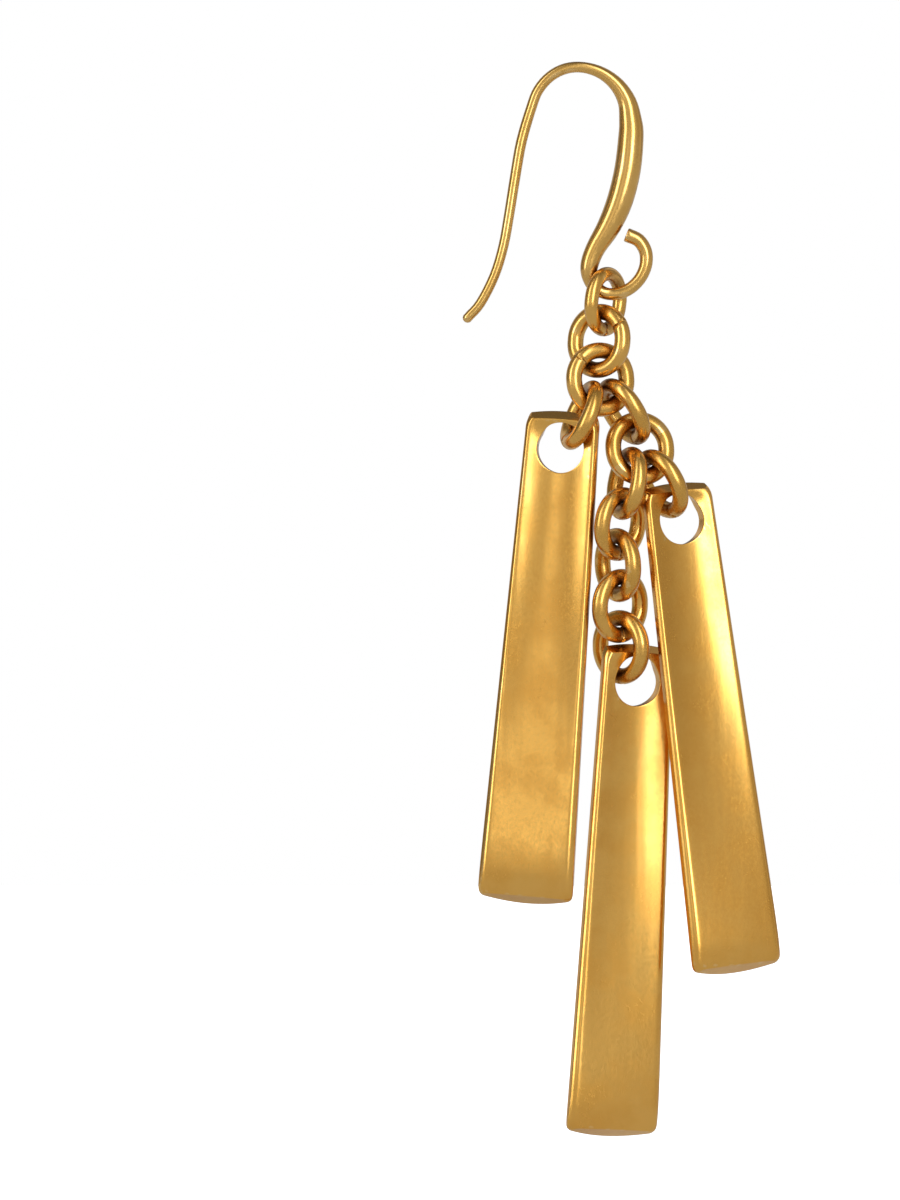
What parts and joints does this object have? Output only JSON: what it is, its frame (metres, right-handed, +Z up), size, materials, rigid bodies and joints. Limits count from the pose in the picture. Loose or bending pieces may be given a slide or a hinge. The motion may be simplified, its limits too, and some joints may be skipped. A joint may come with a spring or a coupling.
{
  "type": "dangle earring",
  "caption": "Dangle earring: a French ear wire, a forked chain of heavy oval links and long tapered paddles with a scooped front, hung at different heights.",
  "frame": {"origin": "underside of the ear wire's top bend, where it rests in the pierced ear", "axes": "+Z up along the hanging drop, -Y the scooped fronts of the paddles, +X the side of the ear wire's arm and of the right paddle"},
  "size_m": [0.0275, 0.0069, 0.0925],
  "materials": {
    "ear_wire_gold": "satin, polished by wear on the bend and the arm",
    "link_gold": "satin cast metal",
    "paddle_gold": "satin with a fine grain along the length and bright worn rims"
  },
  "bodies": {
    "root": {"ear_hook": "ear_wire_gold", "link_top": "link_gold", "link_upper": "link_gold", "link_fork_left": "link_gold", "link_side_left": "link_gold", "link_middle": "link_gold", "link_fork_right": "link_gold", "link_low_1": "link_gold", "link_side_right": "link_gold", "link_low_2": "link_gold", "link_low_3": "link_gold", "link_low_4": "link_gold", "link_low_5": "link_gold"},
    "left_drop": {"paddle_left": "paddle_gold"},
    "right_drop": {"paddle_right": "paddle_gold"},
    "centre_drop": {"paddle_centre": "paddle_gold"}
  },
  "joints": [
    {"name": "left_swing", "type": "hinge", "parent": "root", "child": "left_drop", "pos_m": [-0.00067, -0.00104, -0.03174], "axis": [0, 1, 0], "range_deg": [0, 40]},
    {"name": "right_swing", "type": "hinge", "parent": "root", "child": "right_drop", "pos_m": [0.00841, 0.00005, -0.03759], "axis": [0, 1, 0], "range_deg": [-24, 0]},
    {"name": "centre_swing", "type": "hinge", "parent": "root", "child": "centre_drop", "pos_m": [0.00425, -0.0002, -0.05188], "axis": [0, 1, 0], "range_deg": [-12, 0]}
  ]
}
